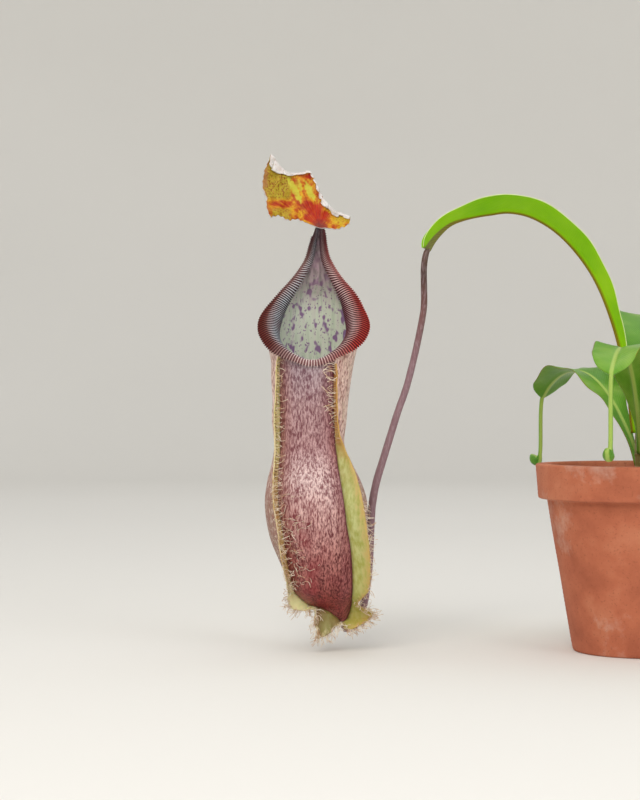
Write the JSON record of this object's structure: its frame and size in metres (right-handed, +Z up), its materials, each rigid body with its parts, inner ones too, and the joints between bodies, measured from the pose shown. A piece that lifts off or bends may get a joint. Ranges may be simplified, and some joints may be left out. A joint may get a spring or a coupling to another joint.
{
  "type": "potted pitcher plant",
  "caption": "Tropical pitcher plant in a terracotta pot: an arching leaf hangs one large winged, lidded pitcher beside the pot; further strap leaves fan out.",
  "frame": {"origin": "centre of the pot's underside, on the surface that the pot stands on", "axes": "+Z up; the pitcher's mouth and wings face -Y; the leaf with the large pitcher points to -X"},
  "size_m": [0.4794, 0.3441, 0.3731],
  "materials": {
    "terracotta": "unglazed fired clay, matt, faint lime bloom",
    "potting_mix": "loose bark, moss and perlite mix, matt",
    "stem": "short woody plant stem, dull, lightly haired",
    "tendril": "mauve-brown living tendril, satin",
    "pitcher_wall": "living pitcher wall, mauve with fine maroon speckle, soft sheen",
    "peristome": "hard ribbed lip, maroon, wet gloss",
    "lid": "yellow and orange leaf tissue with red centre and a white bloomed back",
    "wing": "thin yellow-green fringed leaf tissue",
    "leaf": "bright green leaf blade, waxy satin"
  },
  "bodies": {
    "root": {"pot": "terracotta", "soil": "potting_mix", "stem": "stem", "tendril": "tendril", "pitcher_body": "pitcher_wall", "peristome": "peristome", "lid": "lid", "spur": "pitcher_wall", "wing_left": "wing", "wing_right": "wing", "leaf_main": "leaf", "leaf_front_left": "leaf", "leaf_front": "leaf", "leaf_front_right": "leaf", "leaf_right": "leaf", "leaf_back": "leaf", "leaf_back_left": "leaf", "leaf_young": "leaf"}
  },
  "joints": []
}
